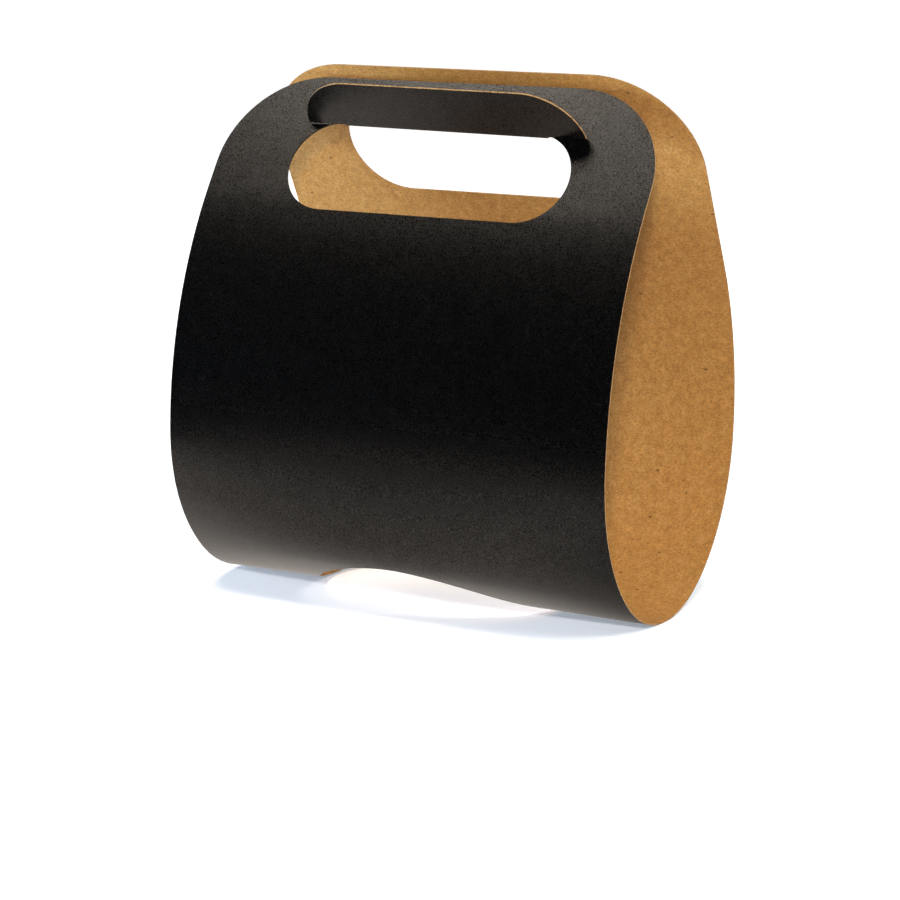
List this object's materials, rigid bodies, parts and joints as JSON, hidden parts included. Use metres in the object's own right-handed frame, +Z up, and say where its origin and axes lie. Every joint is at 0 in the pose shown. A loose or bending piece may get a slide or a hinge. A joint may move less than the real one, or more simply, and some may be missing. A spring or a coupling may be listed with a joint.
{
  "type": "cardboard cup carrier",
  "caption": "Folded card carrier for a takeaway cup: a sheet looped round the cup, with a round hole below that the cup stands through and a flap-locked hand hole at the pinched top.",
  "frame": {"origin": "centre of the round cup hole in the underside, midway between the lowest and highest levels of its edge", "axes": "+Z up along the cup's axis, towards the handle; +X along the loop, from its left end to its right end seen from the front; -Y to the front, where the locking flap is folded up on the outside"},
  "size_m": [0.1492, 0.0934, 0.1619],
  "materials": {
    "card": "matt black outer face with a fine grey-brown speckle; bare brown kraft inner face and cut edges"
  },
  "bodies": {
    "root": {"carrier": "card"}
  },
  "joints": []
}
